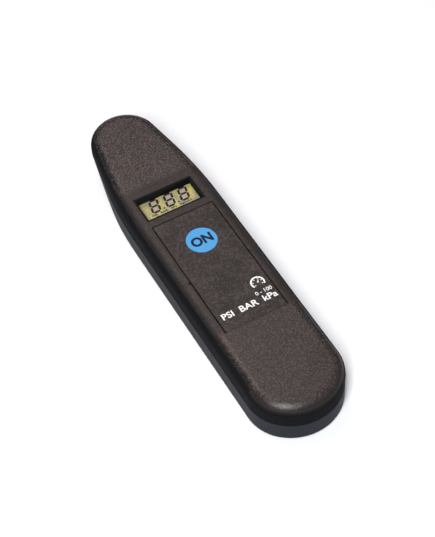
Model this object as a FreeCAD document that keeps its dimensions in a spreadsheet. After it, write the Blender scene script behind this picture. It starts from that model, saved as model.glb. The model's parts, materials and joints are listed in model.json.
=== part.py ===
"""Digital tyre pressure gauge: a hand-held case with a display, one press panel and a valve nozzle.

Frame: +Z up through the display face, +Y towards the head, origin on the flat back below the
middle of the case. Lengths are millimetres and angles are degrees.
"""
import FreeCAD, Part

import math
import os
import re

import Sketcher

V = FreeCAD.Vector
Rotation = FreeCAD.Rotation
Placement = FreeCAD.Placement

DIMS = {
    # case outline, seen from above
    "case_length": 145.0,
    "case_width": 33.5,
    "case_thickness": 16.6,
    "tail_tip_radius": 17.6,
    "tail_corner_radius": 15.1,
    "head_radius": 12.55,
    "head_taper": 9.2,
    "shoulder_radius": 172.0,
    # case profile, seen from the side
    "slope_start": 37.1,
    "slope_angle": 19.8,
    "slope_length": 24.4,
    "nose_angle": 10.8,
    "heel_blend": 30.0,
    "nose_blend": 25.0,
    "top_round": 4.2,
    "back_round": 1.1,
    "wall": 2.0,
    "edge_break": 0.1,
    # allowances that many pieces share
    "overcut": 1.0,
    "embed": 0.5,
    "rest_gap": 0.1,
    "touch_gap": 0.05,
    # parting line between the covers
    "seam_height": 8.0,
    "seam_rise_start": 40.0,
    "seam_rise_angle": 7.5,
    "seam_groove": 0.35,
    "gate_notch": 0.7,
    "gate_notch_y": -11.0,
    "worn_gap": 0.15,
    # press panel cut free on three sides
    "key_centre": -8.9,
    "key_length": 50.9,
    "key_width": 23.1,
    "key_gap": 0.34,
    "key_hinge_gap": 0.1,
    "key_pad_radius": 2.2,
    "key_pad_height": 0.3,
    "key_rib": 1.0,
    "key_rib_height": 0.8,
    "key_rib_inset": 2.0,
    "key_rib_stop": 7.0,
    # display
    "window_x": -0.5,
    "window_centre": 25.15,
    "window_width": 21.0,
    "window_length": 9.9,
    "rim": 1.2,
    "rim_height": 1.0,
    "glass_width": 23.6,
    "glass_length": 14.2,
    "film_inset": 0.3,
    "shelf": 1.5,
    "glass": 0.7,
    "film": 0.22,
    "frame_wall": 0.7,
    "frame_fit": 0.1,
    "zebra_width": 1.8,
    "zebra_fit": 0.1,
    # circuit board
    "board_bottom": 8.9,
    "board": 1.2,
    "board_width": 25.4,
    "board_tail": -36.0,
    "board_head": 40.0,
    "board_notch_length": 1.8,
    "board_tongue": 16.6,
    "board_hole_fit": 0.15,
    "board_post_inset": 7.0,
    "chip_y": 11.3,
    "crystal_x": -7.5,
    "crystal_y": -22.0,
    "crystal_radius": 1.0,
    "crystal_length": 6.0,
    # switch under the press panel
    "switch_y": 3.15,
    "switch_size": 6.0,
    "switch_base": 3.1,
    "switch_frame": 0.3,
    "plunger_radius": 1.65,
    "plunger_length": 2.0,
    "plunger_fit": 0.1,
    "press_gap": 0.1,
    "dome": 0.15,
    "dome_room": 0.7,
    # screws that hold the covers together
    "mid_screw_x": 11.2,
    "mid_screw_y": -37.2,
    "head_screw_x": 10.0,
    "head_screw_y": 45.0,
    "tail_screw_y": -65.6,
    "screw_seat": 4.4,
    "head_screw_seat": 5.8,
    "screw_radius": 1.1,
    "screw_length": 6.6,
    "screw_head_radius": 2.0,
    "screw_head": 1.4,
    "screw_fit": 0.06,
    "shank_fit": 0.2,
    "pilot_end": 0.3,
    "head_chamfer": 0.5,
    "screw_tip": 0.8,
    "cover_boss_radius": 2.4,
    "seat_boss_radius": 3.0,
    "seat_hole_radius": 2.3,
    "boss_gap": 0.12,
    # screws that hold the board to the front cover
    "board_screw_x": 10.4,
    "board_screw_y": 37.2,
    "board_screw_radius": 0.8,
    "board_screw_length": 4.4,
    "board_screw_head_radius": 1.7,
    "board_screw_head": 1.1,
    "board_boss_radius": 2.0,
    # coin cell, its well, and the turning cap
    "cell_y": -49.0,
    "cell_radius": 10.0,
    "cell": 3.2,
    "cell_bottom": 4.0,
    "cell_edge": 0.3,
    "cell_step": 0.5,
    "well_radius": 12.6,
    "well_inner_radius": 10.35,
    "well_floor": 2.8,
    "well_ceiling": 1.0,
    "well_top": 8.6,
    "cap_radius": 12.0,
    "cap": 1.4,
    "cap_inset": 0.1,
    "cap_fit": 0.15,
    "cap_play": 0.05,
    "hub_radius": 10.6,
    "hub_inner_radius": 8.6,
    "lug": 0.9,
    "lug_width": 4.0,
    "lug_reach": 1.1,
    "lug_groove": 0.2,
    "lug_notch_fit": 0.3,
    "lug_angle": 30.0,
    "coin_slot_width": 1.7,
    "coin_slot_length": 15.0,
    "coin_slot_depth": 0.9,
    "strip": 0.25,
    "strip_width": 4.0,
    "strip_fit": 0.3,
    "strip_reach": 2.0,
    "arm_reach": 4.0,
    "tab_start": 5.2,
    "tab_margin": 0.2,
    # nozzle that is pushed onto the tyre valve
    "nozzle_y": 51.5,
    "nozzle_stand": 2.5,
    "bore_radius": 4.15,
    "bore_length": 4.8,
    "mouth_chamfer": 0.4,
    "seal_seat_radius": 5.0,
    "seal_seat": 2.6,
    "nozzle_base": 1.3,
    "nozzle_radius": 6.2,
    "collar_radius": 7.4,
    "collar_chamfer": 0.6,
    "nozzle_hole_fit": 0.1,
    "stem_radius": 3.0,
    "stem_top": 10.4,
    "nut_flats": 15.4,
    "nut": 2.0,
    "nut_fit": 0.04,
    "seal_hole_radius": 2.2,
    "seal_fit": 0.05,
    "pin_radius": 0.8,
    "pin_tip": 5.2,
    "pin_root": 8.3,
    "air_hole_radius": 0.5,
    "air_hole_offset": 1.5,
    # air path from the nozzle to the sensor
    "air_line_at": 9.3,
    "spigot_radius": 1.3,
    "spigot_tip": 42.6,
    "port_tip": 41.8,
    "tube_wall": 0.8,
    "tube_fit": 0.05,
    "tube_start": 40.3,
    "tube_end": 44.7,
    "sensor_width": 9.0,
    "sensor_length": 6.4,
    "sensor_height": 3.8,
    "sensor_inset": 0.2,
    "leg_pitch": 2.0,
    "leg_width": 0.5,
    "leg_length": 1.0,
    "leg": 0.3,
}
NEARLY = 0.05

doc = FreeCAD.newDocument("tyre_gauge")
sheet = doc.addObject("Spreadsheet::Sheet", "dims")
for row, (alias, number) in enumerate(DIMS.items(), start=1):
    sheet.set(f"A{row}", alias)
    sheet.set(f"B{row}", str(number))
    sheet.setAlias(f"B{row}", alias)
doc.recompute()

NODES = {}


# ---- helpers -------------------------------------------------------------------------------

def formula(text):
    """A FreeCAD expression in which every dimension is read from the sheet."""
    def cell(match):
        return f"dims.{match[0]}" if match[0] in DIMS else match[0]
    return re.sub(r"[a-z][a-z_]+", cell, str(text))


def bind(thing, **formulas):
    for name, text in formulas.items():
        thing.setExpression(name.replace("__", "."), formula(text))
    return thing


def place(thing, x=0, y=0, z=0, rotation=None):
    if rotation is not None:
        thing.Placement = Placement(V(), rotation)
    return bind(thing, Placement__Base__x=x, Placement__Base__y=y, Placement__Base__z=z)


def node(thing, name):
    """Name a finished piece: its label is the name of its file."""
    thing.Label = name
    NODES[name] = thing
    return thing


def box(name, size, centre, bottom):
    """A block centred on (x, y) that stands on the height given."""
    block = doc.addObject("Part::Box", name)
    bind(block, Length=size[0], Width=size[1], Height=size[2])
    return place(block, f"{centre[0]} - ({size[0]})/2", f"{centre[1]} - ({size[1]})/2", bottom)


def cylinder(name, radius, height, x=0, y=0, z=0, rotation=None):
    rod = doc.addObject("Part::Cylinder", name)
    bind(rod, Radius=radius, Height=height)
    return place(rod, x, y, z, rotation)


def fuse(name, pieces):
    joined = doc.addObject("Part::MultiFuse", name)
    joined.Shapes = pieces
    joined.Refine = True
    return joined


def cut(name, base, tools):
    result = doc.addObject("Part::Cut", name)
    result.Base = base
    result.Tool = tools[0] if len(tools) == 1 else fuse(f"{name}_tools", tools)
    return result


def common(name, base, tool):
    result = doc.addObject("Part::Common", name)
    result.Base = base
    result.Tool = tool
    return result


def new_body(name):
    return doc.addObject("PartDesign::Body", name)


def plane(body, role):
    return next(part for part in body.Origin.OriginFeatures if part.Role == role)


def new_sketch(body, role, name, offset=0):
    """A sketch on one of the body's own origin planes, shifted along that plane's normal."""
    sketch = body.newObject("Sketcher::SketchObject", name)
    sketch.AttachmentSupport = [(plane(body, role), "")]
    sketch.MapMode = "FlatFace"
    return bind(sketch, AttachmentOffset__Base__z=offset)


def dimension(sketch, name, text, *constraint):
    """Add a dimension whose value is a formula of the sheet's cells."""
    index = sketch.addConstraint(Sketcher.Constraint(*constraint))
    sketch.renameConstraint(index, name)
    sketch.setExpression(f"Constraints.{name}", formula(text))


def polygon(sketch, points):
    """A closed polygon whose corners are pairs of formulas in the sketch's own plane."""
    count = len(points)
    turns = [2 * math.pi * k / count for k in range(count)]
    start = [V(math.cos(turn), math.sin(turn), 0) for turn in turns]
    for k in range(count):
        sketch.addGeometry(Part.LineSegment(start[k], start[(k + 1) % count]))
    for k in range(count):
        sketch.addConstraint(Sketcher.Constraint("Coincident", k, 2, (k + 1) % count, 1))
    for k, (across, up) in enumerate(points):
        dimension(sketch, f"across{k}", across, "DistanceX", -1, 1, k, 1, start[k].x)
        dimension(sketch, f"up{k}", up, "DistanceY", -1, 1, k, 1, start[k].y)


def pad(body, sketch, length, name="Pad", symmetric=False):
    feature = body.newObject("PartDesign::Pad", name)
    feature.Profile = sketch
    if symmetric:
        feature.SideType = "Symmetric"
    return bind(feature, Length=length)


def pocket(body, sketch, length, name="Pocket", symmetric=False):
    feature = body.newObject("PartDesign::Pocket", name)
    feature.Profile = sketch
    if symmetric:
        feature.SideType = "Symmetric"
    return bind(feature, Length=length)


def round_edges(body, radius, wanted, name):
    """Round the edges of the body so far that the test function picks."""
    doc.recompute()
    base = body.Tip
    edges = [f"Edge{k}" for k, edge in enumerate(base.Shape.Edges, start=1) if wanted(edge)]
    feature = body.newObject("PartDesign::Fillet", name)
    feature.Base = (base, edges)
    return bind(feature, Radius=radius)


def turned(name, profile):
    """A body of revolution about its own Z axis, from (radius, height) corners."""
    body = new_body(name)
    sketch = new_sketch(body, "XZ_Plane", f"{name}_profile")
    polygon(sketch, profile)
    spin = body.newObject("PartDesign::Revolution", f"{name}_turn")
    spin.Profile = sketch
    spin.ReferenceAxis = (sketch, ["V_Axis"])
    spin.Angle = 360
    return body


def group(name, shapes):
    """Identical separate solids that share one node."""
    feature = doc.addObject("Part::Feature", name)
    feature.Shape = Part.makeCompound(shapes)
    feature.Placement = Placement()
    return node(feature, name)


# ---- case --------------------------------------------------------------------------------

def half_outline(sketch, inset):
    """The right half of the case outline, moved inwards: arcs and lines that run tangent."""
    shrink = DIMS.get(inset, 0.0)
    side = DIMS["case_width"] / 2 - shrink
    tail = -DIMS["case_length"] / 2 + shrink
    head = DIMS["case_length"] / 2 - shrink
    tip, corner, nose, shoulder = (
        DIMS[name] - shrink
        for name in ("tail_tip_radius", "tail_corner_radius", "head_radius", "shoulder_radius")
    )
    taper = math.radians(DIMS["head_taper"])
    across = side - corner
    drop = math.sqrt((tip - corner) ** 2 - across ** 2)
    tail_y = tail + tip - drop
    lean = math.atan2(-drop, across)
    head_y = head - nose
    kink = head_y + nose * math.sin(taper) - (side - nose * math.cos(taper)) / math.tan(taper)
    shoulder_y = kink - shoulder * math.tan(taper / 2)
    up = V(0, 0, 1)

    def arc(x, y, radius, first, last):
        return Part.ArcOfCircle(Part.Circle(V(x, y, 0), up, radius), first, last)

    taper_low = V(side - shoulder + shoulder * math.cos(taper), shoulder_y + shoulder * math.sin(taper), 0)
    taper_high = V(nose * math.cos(taper), head_y + nose * math.sin(taper), 0)
    for curve in (
        arc(0, tail + tip, tip, -math.pi / 2, lean),
        arc(across, tail_y, corner, lean, 0),
        Part.LineSegment(V(side, tail_y, 0), V(side, shoulder_y, 0)),
        arc(side - shoulder, shoulder_y, shoulder, 0, taper),
        Part.LineSegment(taper_low, taper_high),
        arc(0, head_y, nose, taper, math.pi / 2),
        Part.LineSegment(V(0, head, 0), V(0, tail, 0)),
    ):
        sketch.addGeometry(curve)
    for k in range(5):
        sketch.addConstraint(Sketcher.Constraint("Tangent", k, 2, k + 1, 1))
    sketch.addConstraint(Sketcher.Constraint("Coincident", 5, 2, 6, 1))
    sketch.addConstraint(Sketcher.Constraint("Coincident", 6, 2, 0, 1))
    for element, point in ((6, 1), (6, 2), (0, 3), (5, 3)):
        sketch.addConstraint(Sketcher.Constraint("PointOnObject", element, point, -2))
    sketch.addConstraint(Sketcher.Constraint("Vertical", 2))
    dimension(sketch, "tail_tip", f"tail_tip_radius - {inset}", "Radius", 0, tip)
    dimension(sketch, "tail_corner", f"tail_corner_radius - {inset}", "Radius", 1, corner)
    dimension(sketch, "shoulder", f"shoulder_radius - {inset}", "Radius", 3, shoulder)
    dimension(sketch, "head", f"head_radius - {inset}", "Radius", 5, nose)
    dimension(sketch, "side", f"case_width/2 - {inset}", "DistanceX", -1, 1, 2, 1, side)
    dimension(sketch, "head_end", f"case_length/2 - {inset}", "DistanceY", -1, 1, 6, 1, head)
    dimension(sketch, "tail_end", f"case_length/2 - {inset}", "DistanceY", 0, 1, -1, 1, -tail)
    dimension(sketch, "taper", "90 + head_taper", "Angle", 4, math.pi / 2 + taper)


def outline_prism(name, inset, bottom, height):
    """An upright prism on the case outline, mirrored from its right half."""
    body = new_body(name)
    outline = new_sketch(body, "XY_Plane", f"{name}_outline", bottom)
    half_outline(outline, inset)
    half = pad(body, outline, height, f"{name}_half")
    doc.recompute()
    mirror = body.newObject("PartDesign::Mirrored", f"{name}_mirror")
    mirror.Originals = [half]
    mirror.MirrorPlane = (plane(body, "YZ_Plane"), [""])
    body.Tip = mirror
    return body


def case_solid(name, inset):
    """The case as one solid, or its hollow when it is moved inwards by the wall."""
    body = outline_prism(name, inset, inset, f"case_thickness - 2*{inset}")

    lean = "(slope_angle + nose_angle)/2"
    spread = "cos((slope_angle - nose_angle)/2)"
    far = "case_width"
    heel = (f"slope_start - {inset}*tan(slope_angle/2)", inset)
    nose_y = f"slope_start + slope_length - {inset}*sin({lean})/{spread}"
    nose_z = f"slope_length*tan(slope_angle) + {inset}*cos({lean})/{spread}"
    below = new_sketch(body, "YZ_Plane", f"{name}_underside")
    polygon(below, [
        (heel[0], f"{heel[1]} - wall"),
        heel,
        (nose_y, nose_z),
        (f"{nose_y} + {far}", f"{nose_z} + {far}*tan(nose_angle)"),
        (f"{nose_y} + {far}", f"{heel[1]} - wall"),
    ])
    pocket(body, below, "2*case_width", f"{name}_slope", symmetric=True)
    return body


def crosses_back(edge):
    """Edges that run straight across the back, where its slope changes."""
    straight_across = edge.BoundBox.YLength < NEARLY and edge.BoundBox.XLength > DIMS["wall"]
    return straight_across and edge.BoundBox.ZMax < DIMS["case_thickness"] - DIMS["top_round"]


def top_edges(edge):
    level = edge.BoundBox.ZLength < NEARLY
    return level and edge.BoundBox.ZMin > DIMS["case_thickness"] - DIMS["wall"] - NEARLY


def back_edges(edge):
    """Edges of the outline around the back, which follow its slope."""
    runs_along = edge.BoundBox.YLength > NEARLY
    below_round = edge.BoundBox.ZMax < DIMS["case_thickness"] - DIMS["top_round"]
    return runs_along and below_round


def rounded_case():
    body = case_solid("case_blank", "0")
    doc.recompute()
    middle = DIMS["case_thickness"] / 3
    round_edges(body, "heel_blend", lambda e: crosses_back(e) and e.BoundBox.ZMin < middle, "heel")
    round_edges(body, "nose_blend", lambda e: crosses_back(e) and e.BoundBox.ZMin > middle, "nose")
    round_edges(body, "back_round", back_edges, "back_edge")
    round_edges(body, "top_round", top_edges, "top_edge")
    return body


def hollow_case():
    body = case_solid("case_hollow", "wall")
    round_edges(body, "top_round - wall", top_edges, "hollow_edge")
    return body


def above_seam(name, lift):
    """Everything above the parting line, which climbs towards the head."""
    body = new_body(name)
    sketch = new_sketch(body, "YZ_Plane", f"{name}_area")
    climb = "(case_length - seam_rise_start)*tan(seam_rise_angle)"
    polygon(sketch, [
        ("-case_length", f"seam_height + {lift}"),
        ("seam_rise_start", f"seam_height + {lift}"),
        ("case_length", f"seam_height + {climb} + {lift}"),
        ("case_length", "4*case_thickness"),
        ("-case_length", "4*case_thickness"),
    ])
    pad(body, sketch, "2*case_width", f"{name}_pad", symmetric=True)
    return body


CASE_SCREWS = [
    ("mid_screw_x", "mid_screw_y", "screw_seat"),
    ("-mid_screw_x", "mid_screw_y", "screw_seat"),
    ("head_screw_x", "head_screw_y", "head_screw_seat"),
    ("-head_screw_x", "head_screw_y", "head_screw_seat"),
    ("0", "tail_screw_y", "screw_seat"),
]
BOARD_SCREWS = [("board_screw_x", "board_screw_y"), ("-board_screw_x", "board_screw_y")]
INNER_TOP = "case_thickness - wall"
BOARD_TOP = "board_bottom + board"
WINDOW_AT = ("window_x", "window_centre")
TILT = Rotation(V(1, 0, 0), DIMS["slope_angle"])


def seam_at(y):
    return f"(seam_height + max(0; {y} - seam_rise_start)*tan(seam_rise_angle))"


def opening(name, size, centre, tail_break="edge_break"):
    """A rectangular opening through the roof of the case, whose top edges are broken."""
    straight = box(name, (*size, "3*wall"), centre, "case_thickness - 2*wall")
    flare = doc.addObject("Part::Wedge", f"{name}_flare")
    flare.Placement = Placement(V(), Rotation(V(1, 0, 0), 90))
    bind(flare, Xmin=f"-({size[0]})/2", Xmax=f"({size[0]})/2", Zmin=f"-({size[1]})/2", Zmax=f"({size[1]})/2",
         X2min=f"-({size[0]})/2 - 2*edge_break", X2max=f"({size[0]})/2 + 2*edge_break",
         Z2min=f"-({size[1]})/2 - 2*edge_break", Z2max=f"({size[1]})/2 + 2*({tail_break})",
         Ymin="-edge_break", Ymax="edge_break")
    bind(flare, Placement__Base__x=centre[0], Placement__Base__y=centre[1],
         Placement__Base__z="case_thickness")
    return [straight, flare]


def front_cover(upper_shell):
    bosses = []
    holes = []
    roof = f"{INNER_TOP} + embed"
    for k, (x, y, seat) in enumerate(CASE_SCREWS):
        foot = f"{seam_at(y)} + boss_gap"
        bosses.append(cylinder(f"front_boss{k}", "cover_boss_radius", f"{roof} - ({foot})", x, y, foot))
        holes.append(cylinder(f"front_pilot{k}", "screw_radius + screw_fit",
                              f"{seat} + screw_length + pilot_end - ({foot}) + overcut",
                              x, y, f"{foot} - overcut"))
    for k, (x, y) in enumerate(BOARD_SCREWS):
        bosses.append(cylinder(f"board_boss{k}", "board_boss_radius", f"{roof} - ({BOARD_TOP})",
                               x, y, BOARD_TOP))
        holes.append(cylinder(f"board_pilot{k}", "board_screw_radius + screw_fit",
                              "board_screw_length - board + pilot_end", x, y, BOARD_TOP))
    holes += opening("key_slot", ("key_width + key_gap", "key_length + key_gap/2"),
                     ("0", "key_centre + key_gap/4"), tail_break="0")
    left_edge = "-(key_width + key_gap)/2"
    holes.append(box("gate_notch", ("2*gate_notch", "gate_notch", "3*wall"), (left_edge, "gate_notch_y"),
                     "case_thickness - 2*wall"))
    worn_length = "gate_notch_y - key_centre + key_length/2"
    holes.append(box("worn_gap", ("2*worn_gap", worn_length, "3*wall"),
                     (left_edge, f"gate_notch_y - ({worn_length})/2"), "case_thickness - 2*wall"))
    bosses.append(box("window_rim", ("window_width + 2*rim", "window_length + 2*rim", "rim_height + embed"),
                      WINDOW_AT, f"{INNER_TOP} - rim_height"))
    holes += opening("window", ("window_width", "window_length"), WINDOW_AT)
    node(cut("front_cover_cut", fuse("front_cover_bosses", [upper_shell] + bosses), holes), "front_cover")


def battery_well():
    """The round well for the cell, with a groove below it for the cap's lugs."""
    wall = cylinder("well_wall", "well_radius", "well_top - wall/2", "0", "cell_y", "wall/2")
    groove_radius = "hub_radius + lug_reach + lug_groove"
    room = [
        cylinder("well_room", "well_inner_radius", "well_top - well_ceiling - cell_bottom + overcut",
                 "0", "cell_y", "cell_bottom - overcut"),
        cylinder("well_groove", groove_radius, "cell_bottom + cap_play - well_floor",
                 "0", "cell_y", "well_floor"),
        cylinder("well_mouth", "hub_radius + cap_fit", "well_floor + overcut", "0", "cell_y", "-embed"),
        cylinder("cap_recess", "cap_radius + cap_fit", "cap + cap_inset + cap_play + embed",
                 "0", "cell_y", "-embed"),
        box("negative_slot", ("strip_width + 2*strip_fit", "strip + 2*strip_fit", "well_ceiling + 2*embed"),
            ("0", "cell_y + cell_radius - 2*strip_fit"), "well_top - well_ceiling - embed"),
        box("positive_slot", ("strip + 2*strip_fit", "strip_width + 2*strip_fit", "well_top - cell_bottom"),
            ("cell_radius + touch_gap + strip/2", "cell_y"), "cell_bottom + strip_fit"),
    ]
    half_width = "(lug_width/2 + lug_notch_fit)"
    for k in range(3):
        angle = f"(lug_angle + {120 * k})"
        notch = doc.addObject("Part::Box", f"lug_notch{k}")
        bind(notch, Length=groove_radius, Width=f"2*{half_width}", Height="well_floor")
        room.append(place(notch, f"{half_width}*sin({angle})", f"cell_y - {half_width}*cos({angle})", "cap",
                          Rotation(V(0, 0, 1), DIMS["lug_angle"] + 120 * k)))
    return wall, room


def rear_cover(lower_shell, blank):
    wall, room = battery_well()
    bosses = [wall]
    holes = list(room)
    for k, (x, y, seat) in enumerate(CASE_SCREWS):
        top = f"{seam_at(y)} - boss_gap"
        bosses.append(cylinder(f"rear_boss{k}", "seat_boss_radius", f"{top} - wall/2", x, y, "wall/2"))
        holes.append(cylinder(f"rear_shank{k}", "screw_radius + shank_fit", "case_thickness", x, y, "0"))
        holes.append(cylinder(f"rear_seat{k}", "seat_hole_radius", f"{seat} + overcut", x, y, "-overcut"))
    for k, side in enumerate(("", "-")):
        bosses.append(cylinder(f"board_post{k}", "board_boss_radius", "board_bottom - rest_gap - wall/2",
                               f"{side}board_screw_x", "board_tail + board_post_inset", "wall/2"))
    inside_case = common("rear_bosses_in_case", fuse("rear_bosses", bosses), blank)
    raised = fuse("rear_cover_bosses", [lower_shell, inside_case])
    holes.append(cylinder("nozzle_hole", "nozzle_radius + nozzle_hole_fit", "4*wall", "0",
                          "nozzle_y + wall*sin(slope_angle)",
                          "(nozzle_y - slope_start)*tan(slope_angle) - wall*cos(slope_angle)", TILT))
    node(cut("rear_cover_cut", raised, holes), "rear_cover")


def covers():
    blank = rounded_case()
    hollow = hollow_case()
    shell = cut("case_shell", blank, [hollow])
    upper = above_seam("upper_block", "0")
    front_cover(common("upper_shell", shell, upper))
    core = outline_prism("seam_core", "seam_groove", "0", "case_thickness")
    skin = cut("seam_skin", blank, [core])
    groove = common("seam_groove_band", skin, above_seam("seam_band", "-seam_groove"))
    rear_cover(cut("lower_shell", shell, [upper, groove]), blank)


# ---- press panel ---------------------------------------------------------------------------

def key_panel():
    """The panel is cut free on three sides and bends about its tail end."""
    length = "(key_length - key_gap/2 - key_hinge_gap)"
    middle = "(key_centre - key_gap/4 + key_hinge_gap/2)"
    half_width = "(key_width - key_gap)/2"
    low_y = f"{middle} - {length}/2"
    high_y = f"{middle} + {length}/2"
    plate = new_body("key_plate")
    outline = new_sketch(plate, "XY_Plane", "key_outline", INNER_TOP)
    polygon(outline, [
        (half_width, high_y),
        (f"-{half_width}", high_y),
        (f"-{half_width}", low_y),
        (half_width, low_y),
    ])
    pad(plate, outline, "wall", "key_pad_plate")

    def free_top_edge(edge):
        at_hinge = edge.BoundBox.YMax < DIMS["key_centre"] - DIMS["key_length"] / 2 + DIMS["wall"]
        return edge.BoundBox.ZMin > DIMS["case_thickness"] - NEARLY and not at_hinge

    round_edges(plate, "edge_break", free_top_edge, "key_edge")
    press_pad = cylinder("press_pad", "key_pad_radius", "key_pad_height + embed", "0", "switch_y",
                         f"{INNER_TOP} - key_pad_height")
    ribs = [
        box(f"key_rib{k}", ("key_rib", f"{length} - 2*key_rib_stop", "2*key_rib_height"),
            (f"{side}(key_width/2 - key_rib_inset)", middle), f"{INNER_TOP} - key_rib_height")
        for k, side in enumerate(("", "-"))
    ]
    node(fuse("key_panel_solid", [plate, press_pad] + ribs), "key_panel")


# ---- display -------------------------------------------------------------------------------

def display():
    """A display glass held under the window by a frame that stands on the board."""
    film_z = f"{INNER_TOP} - rim_height - film"
    front_z = f"{film_z} - glass"
    rear_z = f"{front_z} - glass"
    strip_length = "zebra_width + 3*zebra_fit"
    rear_length = f"glass_length - ({strip_length})"
    rear_centre = ("window_x", f"window_centre + ({strip_length})/2")
    film_width = "glass_width - 2*film_inset"
    node(box("film_front", (film_width, "glass_length - 2*film_inset", "film"), WINDOW_AT, film_z),
         "lcd_front_polariser")
    node(box("glass_front", ("glass_width", "glass_length", "glass"), WINDOW_AT, front_z), "lcd_front_glass")
    node(box("glass_rear", ("glass_width", rear_length, "glass"), rear_centre, rear_z), "lcd_rear_glass")
    node(box("film_rear", (film_width, f"{rear_length} - 2*film_inset", "film"), rear_centre,
             f"{rear_z} - film"), "lcd_reflector")

    zebra_centre = ("window_x", "window_centre - glass_length/2 + zebra_width/2 + zebra_fit")
    node(box("zebra", ("window_width", "zebra_width", f"{front_z} - ({BOARD_TOP})"), zebra_centre, BOARD_TOP),
         "zebra_strip")

    inside = ("glass_width + 2*frame_fit", "glass_length + 2*frame_fit")
    outside = (f"{inside[0]} + 2*frame_wall", f"{inside[1]} + 2*frame_wall")
    block = box("lcd_frame_block", (*outside, f"{INNER_TOP} - rim_height - ({BOARD_TOP})"), WINDOW_AT,
                BOARD_TOP)
    room = box("lcd_frame_room", (*inside, "case_thickness"), WINDOW_AT, f"{rear_z} - film")
    under = box("lcd_frame_under", ("glass_width - 2*shelf", f"{rear_length} - 2*shelf", "case_thickness"),
                rear_centre, f"{BOARD_TOP} - overcut")
    slot = box("lcd_frame_zebra_slot",
               ("window_width + 2*zebra_fit", "zebra_width + zebra_fit", "case_thickness"),
               zebra_centre, f"{BOARD_TOP} - overcut")
    node(cut("lcd_frame_cut", block, [room, under, slot]), "lcd_frame")


# ---- board and what is soldered to it ------------------------------------------------------

def main_board():
    length = "board_head - board_tail"
    centre = "(board_head + board_tail)/2"
    plate = box("board_plate", ("board_width", length, "board"), ("0", centre), "board_bottom")
    holes = [
        cylinder(f"board_hole{k}", "board_screw_radius + board_hole_fit", "3*board",
                 x, y, "board_bottom - board")
        for k, (x, y) in enumerate(BOARD_SCREWS)
    ]
    for k, side in enumerate(("", "-")):
        notch_x = f"{side}(board_tongue/2 + board_width/2)"
        holes.append(box(f"board_notch{k}", ("board_width", "2*board_notch_length", "3*board"),
                         (notch_x, "board_tail"), "board_bottom - board"))
    node(cut("main_board_cut", plate, holes), "main_board")


# length, width and height of the small chips, and the places of their middles under the board
RESISTOR = (1.6, 0.8, 0.5)
RESISTORS_AT = ((-6, 4), (-6, 6), (-6, 8), (6, 4), (6, 6), (6, 18), (-3, 20), (3, 20), (-8, 27), (8, 27))
CAPACITOR = (2.0, 1.25, 1.1)
CAPACITORS_AT = ((-7, 14), (7, 12), (0, -6), (5, -16), (-4, 29), (4, 31))
# corners of the epoxy drop over the display chip, as radius and height below the board
CHIP_DROP = [("0", "0"), ("4.6", "0"), ("4.4", "-0.5"), ("3.2", "-1.0"), ("0", "-1.25")]


def chips(name, size, places):
    """Small blocks soldered to the underside of the board."""
    foot = DIMS["board_bottom"] - size[2]
    group(name, [
        Part.makeBox(*size, V(x - size[0] / 2, y - size[1] / 2, foot)) for x, y in places
    ])


def board_parts():
    node(place(turned("chip_drop", CHIP_DROP), "0", "chip_y", "board_bottom"), "chip_blob")
    node(cylinder("crystal", "crystal_radius", "crystal_length", "crystal_x", "crystal_y",
                  "board_bottom - crystal_radius - touch_gap", Rotation(V(1, 0, 0), -90)), "crystal_can")
    chips("chip_resistors", RESISTOR, RESISTORS_AT)
    chips("chip_capacitors", CAPACITOR, CAPACITORS_AT)


def switch():
    """A small press switch: a dome under a plunger that the panel pushes down."""
    size = ("switch_size", "switch_size")
    at = ("0", "switch_y")
    plunger_top = f"{INNER_TOP} - key_pad_height - press_gap"
    plunger_foot = f"{plunger_top} - plunger_length"
    dome_foot = f"{plunger_foot} - dome_room"
    hole_radius = "plunger_radius + plunger_fit"
    plate_foot = f"{BOARD_TOP} + switch_base"
    block = box("switch_block", size + ("switch_base",), at, BOARD_TOP)
    well = cylinder("switch_well", hole_radius, "switch_size", "0", "switch_y", dome_foot)
    node(cut("switch_base_cut", block, [well]), "switch_base")
    plate = box("switch_plate", size + ("switch_frame",), at, plate_foot)
    hole = cylinder("switch_plate_hole", hole_radius, "3*switch_frame", "0", "switch_y",
                    f"{plate_foot} - switch_frame")
    node(cut("switch_frame_cut", plate, [hole]), "switch_frame")
    node(cylinder("dome_disc", "plunger_radius - plunger_fit", "dome", "0", "switch_y", dome_foot),
         "switch_dome")
    node(cylinder("plunger_rod", "plunger_radius", "plunger_length", "0", "switch_y", plunger_foot),
         "switch_plunger")


# ---- screws --------------------------------------------------------------------------------

# width across, width of each arm, and depth of the driver's cross
CASE_CROSS = (2.4, 0.5, 0.8)
BOARD_CROSS = (2.0, 0.5, 0.6)


def screw(prefix, cross):
    """A pan-head self-tapping screw: tip up, with the seat of its head at height zero."""
    radius, length, head_radius, head = (
        f"{prefix}{size}" for size in ("screw_radius", "screw_length", "screw_head_radius", "screw_head")
    )
    body = turned(f"{prefix}screw", [
        ("0", f"-{head}"),
        (f"{head_radius} - head_chamfer", f"-{head}"),
        (head_radius, f"head_chamfer - {head}"),
        (head_radius, "0"),
        (radius, "0"),
        (radius, f"{length} - screw_tip"),
        (f"{radius}/2", length),
        ("0", length),
    ])
    doc.recompute()
    shape = body.Shape
    across, arm, depth = cross
    for size in ((across, arm), (arm, across)):
        corner = V(-size[0] / 2, -size[1] / 2, -DIMS[head])
        shape = shape.cut(Part.makeBox(size[0], size[1], depth, corner))
    return shape


def length_of(text):
    """The number that one alias stands for, with its sign."""
    return -DIMS[text[1:]] if text.startswith("-") else DIMS.get(text, 0.0)


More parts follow.
